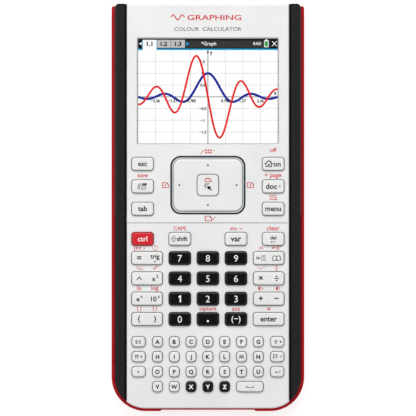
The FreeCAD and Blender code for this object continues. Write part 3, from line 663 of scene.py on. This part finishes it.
def row_legends():
    """Letters on the rows of small keys, with the row's end keys."""
    rows = (
        ("letter_keys_row_1", "ABCDEFG", together(small_capital("E", -0.75), small_capital("E", 0.75)),
         together(word("?!", 2.4, -0.8, drop=CAPITAL / 2), small_arrow(1.5, 0.0, 0.8))),
        ("letter_keys_row_2", "HIJKLMN",
         together(pi_icon(-0.75), small_arrow(1.5, 0.0, 0.8)), flag_icon),
        ("letter_keys_row_3", "OPQRSTU", word(",", 3.6, 0.0, -0.2, drop=0.0), return_icon),
    )
    for node, letters, left, right in rows:
        x, y, _ = middle(node)
        low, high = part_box(node)
        end = (high.x - low.x) / 2 / MM - END_KEY_INSET
        drawing = Drawing()
        columns = [((i - 3) * LETTER_PITCH, letter_m if c == "M" else plain_letter(c))
                   for i, c in enumerate(letters)]
        columns += [(-end, left), (end, right)]
        for column, draw in columns:
            draw(drawing, x + column, y)
        drawing.build(node + "_legends", node, "ink_black", row_surface(node, [c for c, _ in columns]))
    bottom = (("letter_keys_row_4", "VW", (-3, -2), "ink_black"),
              ("variable_letter_keys", "XYZ", (-1, 0, 1), "ink_white"))
    for node, letters, columns, material in bottom:
        y = middle(node)[1]
        drawing = Drawing()
        for letter, column in zip(letters, columns):
            drawing.text(letter, column * LETTER_PITCH, y, LETTER_SIZE, 1.0, LETTER_WEIGHT)
        surface = row_surface(node, [c * LETTER_PITCH for c in columns])
        drawing.build(node + "_legends", node, material, surface)


def row_surface(node, centres):
    """The crowned tops of a row of keys."""
    tops = [(x, crowned(node, x)) for x in centres]
    return lambda x, y: min(tops, key=lambda top: abs(top[0] - x))[1](x, y)


# Legends and marks on the face --------------------------------------------------------------------

def page_icon(d, x, y):
    """Page outline with a folded corner."""
    d.line([(x - 1.45, y - 1.1), (x + 1.45, y - 1.1), (x + 1.45, y + 0.35), (x + 0.7, y + 1.1),
            (x - 1.45, y + 1.1)], 0.36, True)
    d.polygon((x + 0.7, y + 1.2), (x + 1.6, y + 0.35), (x + 0.7, y + 0.35))


def face_legends():
    """Second functions printed above the keys, and marks beside the touchpad."""
    d = Drawing()

    def above(node, words, dx=0.0, dy=4.85, size=SHIFT_SIZE, drop=LOWERCASE_DROP, stretch=1.0):
        x, y, _ = middle(node)
        d.text(words, x + dx, y + dy, size, stretch, SHIFT_WEIGHT, drop)

    above("home_key", "off", dy=6.35)
    above("scratchpad_key", "save", dy=5.15)
    above("document_key", "+ page", dx=-0.1, dy=5.2, size=3.0)
    above("shift_key", "CAPS", dy=4.95, size=2.55, drop=CAPITAL / 2)
    above("variable_key", "sto", dx=-1.1, dy=4.85, size=2.6)
    above("delete_key", "clear", dy=4.9, size=3.05)
    above("equals_trig_key", "|≠≥", dx=LEFT - 0.75, dy=4.65, size=2.4)
    above("template_catalog_key", ":=", dx=LEFT, dy=4.7, size=2.9)
    above("template_catalog_key", "∞β°", dx=RIGHT, dy=4.75, size=2.4)
    above("exponential_key", "ln", dx=LEFT, dy=4.8)
    above("exponential_key", "log", dx=RIGHT, dy=4.95)
    above("bracket_key", "[ ]", dx=LEFT, dy=4.85, size=2.3)
    above("bracket_key", "{ }", dx=RIGHT, dy=4.85, size=2.3)
    above("point_key", "capture", dy=4.8, size=2.6)
    above("negate_key", "ans", dy=4.75)
    above("enter_key", "≈", dy=4.75, size=2.9)
    above("power_square_key", "√", dx=RIGHT, dy=4.75, size=2.4, stretch=1.3)
    above("power_square_key", "√", dx=LEFT + 0.1, dy=4.6, size=2.2)
    above("power_square_key", "n", dx=LEFT - 1.1, dy=5.25, size=1.5)
    above("power_square_key", "x", dx=LEFT + 1.3, dy=4.45, size=1.8)
    shift_marks(d)
    page_marks(d)
    d.build("face_legends", "handheld", "ink_red", flat(FACE_Z))


def shift_marks(d):
    """Second functions that are drawn rather than lettered."""
    x, y, _ = middle("equals_trig_key")
    small_arrow(LEFT + 2.3, 4.6, 0.6)(d, x, y)
    d.ring(x + RIGHT + 0.1, y + 4.85, 1.15, 0.22)
    d.text("?", x + RIGHT + 0.1, y + 4.85, 1.9)
    x, y, _ = middle("variable_key")
    d.line([(x + 1.3, y + 4.7), (x + 2.4, y + 4.7)], 0.22)
    small_arrow(2.7, 4.7, 0.6)(d, x, y)
    x, y, _ = middle("power_square_key")
    d.line([(x + RIGHT + 0.75, y + 5.5), (x + RIGHT + 2.0, y + 5.5)], 0.22)
    x, y, _ = middle("multiply_divide_key")
    for side in (-1, 1):
        d.text("”" if side > 0 else "“", x + LEFT + side * 1.3, y + 4.55, 2.4)
    d.box(x + LEFT, y + 4.5, 0.6, 0.6)
    for side in (-1, 1):
        d.box(x + RIGHT, y + 4.65 + side * 0.85, 0.62, 0.62)
    d.line([(x + RIGHT - 0.8, y + 4.65), (x + RIGHT + 0.8, y + 4.65)], 0.24)
    x, y, _ = middle("plus_minus_key")
    for side in (-1, 1):
        cx = x + side * ROCKER_HALF + (-0.35 if side < 0 else 0.6)
        d.ring(cx, y + 4.8, 0.8, 0.24)
        half = [(cx - 0.8 * sin(pi * i / 8), y + 4.8 + 0.8 * cos(pi * i / 8)) for i in range(9)]
        d.polygon(*half)
        small_arrow(side * ROCKER_HALF + (1.2 if side < 0 else -0.9), 4.8, 0.42)(d, x, y)
    x, y, _ = middle("menu_key")
    d.line([(x - 1.5, y + 4.3), (x + 1.3, y + 4.3), (x + 1.3, y + 6.3), (x - 1.5, y + 6.3)], 0.26, True)
    for step in (-0.6, 0.3):
        d.line([(x + step, y + 4.3), (x + step, y + 6.3)], 0.16)
    d.line([(x - 1.5, y + 5.4), (x + 1.3, y + 5.4)], 0.16)
    d.polygon((x + 0.6, y + 5.2), (x + 1.95, y + 4.3), (x + 1.5, y + 3.85))


def page_marks(d):
    """Page marks on the four sides of the touchpad."""
    low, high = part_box("touchpad_trim_ring")
    left, right = low.x / MM - 2.3, high.x / MM + 2.3
    over, under = high.y / MM + 1.85, low.y / MM - 1.9
    page_icon(d, left, PAD_Y)
    small_arrow(-0.2, -0.05, 0.75, 180)(d, left, PAD_Y)
    page_icon(d, right, PAD_Y)
    small_arrow(0.0, -0.05, 0.75)(d, right, PAD_Y)
    d.line([(PAD_X - 3.4, over - 0.9), (PAD_X - 2.2, over + 0.4)], 0.3)
    small_arrow(-2.1, over - PAD_Y + 0.5, 0.5, 45)(d, PAD_X, PAD_Y)
    for column in range(3):
        for row in range(2):
            d.box(PAD_X - 0.9 + column * 1.15, over - 0.35 + row * 1.1, 0.8, 0.75)
    d.line([(PAD_X + 2.35, over + 0.6), (PAD_X + 3.1, over + 0.6)], 0.3)
    page_icon(d, PAD_X + 0.2, under)
    d.line([(PAD_X + 2.4, under - 0.3), (PAD_X + 3.7, under + 0.9)], 0.26)
    small_arrow(2.35, under - PAD_Y - 0.3, 0.5, 225)(d, PAD_X, PAD_Y)


def header():
    """Plain descriptive header over the display, with a small wave mark."""
    words = Drawing()
    words.text("GRAPHING", TITLE_X, HEADER_Y, TITLE_SIZE, TITLE_STRETCH, TITLE_WEIGHT)
    squiggle = [(SQUIGGLE_LEFT + SQUIGGLE_STEP * i, HEADER_Y + SQUIGGLE_HEIGHT * sin(i * SQUIGGLE_TURN))
                for i in range(SQUIGGLE_POINTS)]
    words.line(squiggle, SQUIGGLE_LINE)
    words.build("header_title", "handheld", "ink_red", flat(FACE_Z))
    under = Drawing()
    under.text("COLOUR  CALCULATOR", 0.0, HEADER_Y - SUBTITLE_DROP, SUBTITLE_SIZE,
               SUBTITLE_STRETCH, SUBTITLE_WEIGHT)
    under.build("header_subtitle", "handheld", "ink_slate", flat(FACE_Z))


def touchpad_marks():
    """Four direction marks on the pad, and a grab mark over a pointer on the centre button."""
    low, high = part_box("touchpad_plate")
    half_w, half_h = (high.x - low.x) / 2 / MM, (high.y - low.y) / 2 / MM
    d = Drawing()
    across, along = half_w - 2.7, half_h - 2.8
    for turn, dx, dy in ((0, across, 0), (180, -across, 0), (90, 0, along), (270, 0, -along)):
        small_arrow(dx, dy, 0.8, turn)(d, PAD_X, PAD_Y)
    d.build("touchpad_marks", "touchpad", "ink_black", flat(PAD_Z))
    x, y, top = middle("touchpad_click_button")
    pointer = Drawing()
    tip_x, tip_y = x - 0.35, y - 0.35
    outline = [(0, 0), (0.35, -1.9), (0.95, -1.35), (1.75, -2.3), (2.25, -1.85), (1.4, -0.95), (2.0, -0.45)]
    pointer.polygon(*[(tip_x + px, tip_y + py) for px, py in outline])
    for turn in range(60, 241, 36):
        c, s = cos(radians(turn)), sin(radians(turn))
        pointer.line([(tip_x + 0.55 * c, tip_y + 0.55 * s), (tip_x + 1.45 * c, tip_y + 1.45 * s)], 0.3)
    pointer.build("click_mark_pointer", "touchpad_click", "ink_black", flat(top))
    grab = Drawing()
    grab.line([(x - 1.3, y + 1.5), (x + 1.1, y + 1.5), (x + 1.35, y + 2.5), (x + 0.9, y + 3.2),
               (x - 1.0, y + 3.2), (x - 1.3, y + 2.6)], 0.34, True)
    for dx in (-0.45, 0.3):
        grab.line([(x + dx, y + 2.45), (x + dx, y + 3.2)], 0.26)
    grab.line([(x + 1.2, y + 1.8), (x + 2.0, y + 1.8)], 0.34)
    grab.build("click_mark_grab", "touchpad_click", "ink_red", flat(top))


# Display ------------------------------------------------------------------------------------------

SCREEN_COLORS = {
    "screen_white": (0.97, 0.97, 0.975),
    "screen_grid": (0.72, 0.72, 0.72),
    "screen_axis": (0.44, 0.44, 0.44),
    "screen_black": (0.002, 0.002, 0.002),
    "screen_dark": (0.03, 0.03, 0.032),
    "screen_cyan": (0.005, 0.33, 0.60),
    "screen_tab": (0.5, 0.5, 0.5),
    "screen_line": (0.92, 0.92, 0.92),
    "screen_blue": (0.0, 0.012, 0.30),
    "screen_red": (0.72, 0.0, 0.0),
    "screen_text": (0.02, 0.02, 0.02),
    "screen_green": (0.0, 0.36, 0.045),
    # The display's mask round the active area: its glowing grey is painted shade of the opening's side
    # walls.
    "screen_rim": (0.28, 0.28, 0.29),
}
for shade_name, shade_color in SCREEN_COLORS.items():
    materials[shade_name] = lit(shade_name, shade_color)


def on_screen(drawing, name, material, layer):
    """Build a drawing as one of the display's layers."""
    drawing.build(name, "handheld", material, flat(DISPLAY_Z), lift=LAYER * layer, depth=LAYER)


def wave(x):
    """The thick curve: sine of four x over four x."""
    u = 4 * x
    return sin(u) / u if abs(u) > 1e-6 else 1.0


def slope(x):
    """The thin curve: the slope of the thick one."""
    u = 4 * x
    return 4 * (u * cos(u) - sin(u)) / u ** 2 if abs(u) > 1e-3 else 0.0


def plot(function, width, name, material, layer, reach):
    """A curve across the graph, clipped by its range."""
    d = Drawing()
    xs = [-reach + 2 * reach * i / CURVE_STEPS for i in range(CURVE_STEPS + 1)]
    d.line([(DISPLAY_X + x * UNIT_X, ORIGIN_Y + function(x) * UNIT_Y) for x in xs], width)
    on_screen(d, name, material, layer)


TOP = DISPLAY_Y + ACTIVE_HEIGHT / 2
BOTTOM = DISPLAY_Y - ACTIVE_HEIGHT / 2
GRAPH_TOP = TOP - BAR_HEIGHT - BAR_LINE
ORIGIN_Y = (GRAPH_TOP + BOTTOM) / 2


def graph():
    """Grid, axes, labels and the two curves."""
    half = ACTIVE_WIDTH / 2
    paper = Drawing()
    paper.box(DISPLAY_X, DISPLAY_Y, ACTIVE_WIDTH, ACTIVE_HEIGHT)
    on_screen(paper, "screen_paper", "screen_white", 1)
    grid = Drawing()
    for step in (-3, -2, -1, 1, 2, 3):
        grid.box(DISPLAY_X + step * GRID_STEP_X * UNIT_X, ORIGIN_Y, GRID_LINE, GRAPH_TOP - BOTTOM)
        grid.box(DISPLAY_X, ORIGIN_Y + step * GRID_STEP_Y * UNIT_Y, ACTIVE_WIDTH, GRID_LINE)
    on_screen(grid, "screen_grid_lines", "screen_grid", 2)
    axes = Drawing()
    axes.box(DISPLAY_X, ORIGIN_Y, AXIS_LINE, GRAPH_TOP - BOTTOM)
    axes.box(DISPLAY_X, ORIGIN_Y, ACTIVE_WIDTH, AXIS_LINE)
    on_screen(axes, "screen_axes", "screen_axis", 3)
    labels = Drawing()
    patches = Drawing()
    across, along = ("0.785", "1.57", "2.36"), ("0.5", "1.", "1.5")
    for step, (across_digits, along_digits) in enumerate(zip(across, along), 1):
        for side in (-1, 1):
            sign = "−" if side < 0 else ""
            x = DISPLAY_X + side * step * GRID_STEP_X * UNIT_X
            y = ORIGIN_Y + side * step * GRID_STEP_Y * UNIT_Y
            words = sign + across_digits
            patches.box(x, ORIGIN_Y - LABEL_DROP, 0.9 * len(words) + 0.2, 1.9)
            labels.text(words, x, ORIGIN_Y - LABEL_DROP, LABEL_SIZE, 0.98, SCREEN_WEIGHT)
            words = sign + along_digits
            patches.box(DISPLAY_X - LABEL_LEFT, y, 0.85 * len(words) + 0.1, 1.7)
            labels.text(words, DISPLAY_X - LABEL_LEFT, y, LABEL_SIZE, 0.98, SCREEN_WEIGHT)
    labels.text("y", DISPLAY_X + 1.55, GRAPH_TOP - 1.4, 2.3, 1.0, SCREEN_WEIGHT, 0.2)
    labels.text("x", DISPLAY_X + half - 1.1, ORIGIN_Y + 1.7, 2.3, 1.0, SCREEN_WEIGHT, 0.27)
    labels.polygon((DISPLAY_X - 0.65, GRAPH_TOP - 1.35), (DISPLAY_X + 0.65, GRAPH_TOP - 1.35),
                   (DISPLAY_X, GRAPH_TOP - 0.1))
    on_screen(patches, "screen_label_patches", "screen_white", 4)
    plot(wave, THICK_CURVE, "screen_thick_curve", "screen_blue", 5, half / UNIT_X)
    on_screen(labels, "screen_labels", "screen_text", 6)
    plot(slope, THIN_CURVE, "screen_thin_curve", "screen_red", 7, half / UNIT_X)


def top_bar():
    """Bar with page tabs, title, angle mode, battery and close mark, and the display's mask round the
    active area, glowing grey as painted shade.
    """
    left, half = DISPLAY_X - ACTIVE_WIDTH / 2, ACTIVE_WIDTH / 2
    bar_y = TOP - BAR_HEIGHT / 2
    black = Drawing()
    black.box(DISPLAY_X, bar_y, ACTIVE_WIDTH, BAR_HEIGHT)
    on_screen(black, "screen_bar_edge", "screen_black", 2)
    dark = Drawing()
    dark.box(DISPLAY_X + TITLE_BAR_X, bar_y - 0.2, TITLE_BAR_WIDTH, BAR_HEIGHT - 1.2)
    on_screen(dark, "screen_bar", "screen_dark", 3)
    cyan = Drawing()
    cyan.box(DISPLAY_X, GRAPH_TOP + BAR_LINE / 2, ACTIVE_WIDTH, BAR_LINE)
    cyan.box(left + TAB_X, bar_y - 0.2, TAB_WIDTH + 0.7, BAR_HEIGHT - 0.8)
    small_arrow(-9.4, bar_y, 1.25)(cyan, DISPLAY_X, 0)
    on_screen(cyan, "screen_bar_line", "screen_cyan", 4)
    tabs = Drawing()
    for step in (0, 1):
        tabs.box(left + NEXT_TAB_X + step * TAB_STEP, bar_y - 0.05, TAB_WIDTH, BAR_HEIGHT - 0.9)
    on_screen(tabs, "screen_tabs", "screen_tab", 5)
    light = Drawing()
    light.box(left + TAB_X, bar_y - 0.6, TAB_WIDTH, BAR_HEIGHT + 0.2)
    small_arrow(1.15, bar_y, 1.0, 180)(light, left, 0)
    light.text("*Graph", DISPLAY_X + 0.4, bar_y + 0.1, 2.35, 1.0, 0.01)
    light.text("RAD", DISPLAY_X + 23.0, bar_y + 0.1, 2.0, 0.95, 0.01)
    light.box(DISPLAY_X + BATTERY_X, bar_y, 2.0, 3.2)
    light.box(DISPLAY_X + BATTERY_X, bar_y + 1.8, 0.9, 0.5)
    for side in (-1, 1):
        light.line([(DISPLAY_X + half - 2.6, bar_y - side * 1.15),
                    (DISPLAY_X + half - 0.5, bar_y + side * 1.15)], 0.34)
    on_screen(light, "screen_bar_light", "screen_line", 6)
    green = Drawing()
    green.box(DISPLAY_X + BATTERY_X, bar_y - 0.05, 1.35, 2.45)
    on_screen(green, "screen_battery_level", "screen_green", 7)
    numbers = Drawing()
    for step in range(3):
        numbers.text(f"1.{step + 1}", left + TAB_X + step * NUMBER_STEP, bar_y, 2.6, 1.15, SCREEN_WEIGHT)
    on_screen(numbers, "screen_tab_numbers", "screen_text", 7)
    # The display's mask between the active area and the opening, glowing grey as painted shade of the
    # opening's side walls.
    rim = Drawing()
    reach = half + RIM / 2
    rim.line([(DISPLAY_X - reach, BOTTOM - RIM / 2), (DISPLAY_X + reach, BOTTOM - RIM / 2),
              (DISPLAY_X + reach, TOP + RIM / 2), (DISPLAY_X - reach, TOP + RIM / 2)], RIM, True)
    on_screen(rim, "screen_rim", "screen_rim", 1)


# Stage --------------------------------------------------------------------------------------------

def paper():
    """Pale floor material, which doesn't hide the part from below."""
    made = plastic("floor", (0.5, 0.5, 0.5), 0.7, grain=300.0, relief=0.02, mottle=0.004)
    tree = made.node_tree
    shader = tree.nodes["Principled BSDF"]
    shader.inputs["Emission Color"].default_value = (1, 1, 1, 1)
    shader.inputs["Emission Strength"].default_value = FLOOR_GLOW
    side = tree.nodes.new("ShaderNodeNewGeometry")
    gap = tree.nodes.new("ShaderNodeBsdfTransparent")
    mix = tree.nodes.new("ShaderNodeMixShader")
    tree.links.new(side.outputs["Backfacing"], mix.inputs["Fac"])
    tree.links.new(shader.outputs["BSDF"], mix.inputs[1])
    tree.links.new(gap.outputs["BSDF"], mix.inputs[2])
    tree.links.new(mix.outputs["Shader"], tree.nodes["Material Output"].inputs["Surface"])
    return made


def sky():
    """Soft white sky, brightest halfway up, dim at the horizon and nearly dark straight up."""
    world = bpy.data.worlds.new("studio")
    bpy.context.scene.world = world
    world.use_nodes = True
    tree = world.node_tree
    place = tree.nodes.new("ShaderNodeTexCoord")
    across = tree.nodes.new("ShaderNodeSeparateXYZ")
    curve = tree.nodes.new("ShaderNodeValToRGB")
    tree.links.new(place.outputs["Generated"], across.inputs["Vector"])
    tree.links.new(across.outputs["Z"], curve.inputs["Fac"])
    stops = ((0.0, SKY_RIM), (0.42, SKY_LOW), (0.58, SKY_SIDES), (0.82, SKY_SIDES), (0.94, SKY_TOP))
    while len(curve.color_ramp.elements) < len(stops):
        curve.color_ramp.elements.new(0.5)
    for element, (height, level) in zip(curve.color_ramp.elements, stops):
        element.position = height
        element.color = (level, level, level, 1)
    background = tree.nodes["Background"]
    tree.links.new(curve.outputs["Color"], background.inputs["Color"])
    background.inputs["Strength"].default_value = SKY_STRENGTH


def soft_light(name, place, size, power):
    """Rectangular light, aimed at the origin."""
    light = bpy.data.lights.new(name, "AREA")
    light.shape = "RECTANGLE"
    light.size, light.size_y = size
    light.energy = power
    lamp = bpy.data.objects.new(name, light)
    bpy.context.scene.collection.objects.link(lamp)
    lamp.location = place
    lamp.rotation_euler = (-Vector(place)).to_track_quat("-Z", "Y").to_euler()


def stage():
    """Pale floor, sky, soft lights and the camera."""
    low, high = cad_bounds
    bpy.ops.mesh.primitive_plane_add(size=FLOOR_SIZE, location=(0, 0, low.z - FLOOR_DROP))
    floor = bpy.context.object
    floor.name = "floor"
    floor.data.materials.append(paper())
    sky()
    soft_light("key_light", **KEY_LIGHT)
    soft_light("fill_light", **FILL_LIGHT)

    lens = bpy.data.cameras.new("camera")
    lens.sensor_width = SENSOR
    lens.lens = SENSOR * CAMERA_DISTANCE / FRAME_WIDTH
    lens.clip_end = 10.0
    camera = bpy.data.objects.new("camera", lens)
    bpy.context.scene.collection.objects.link(camera)
    camera.location = ((low.x + high.x) / 2 + CAMERA_SHIFT[0], (low.y + high.y) / 2 + CAMERA_SHIFT[1],
                       FACE_Z * MM + CAMERA_DISTANCE)
    bpy.context.scene.camera = camera
    bpy.context.scene.view_settings.view_transform = "Standard"


key_legends()
row_legends()
face_legends()
header()
touchpad_marks()
graph()
top_bar()
stage()
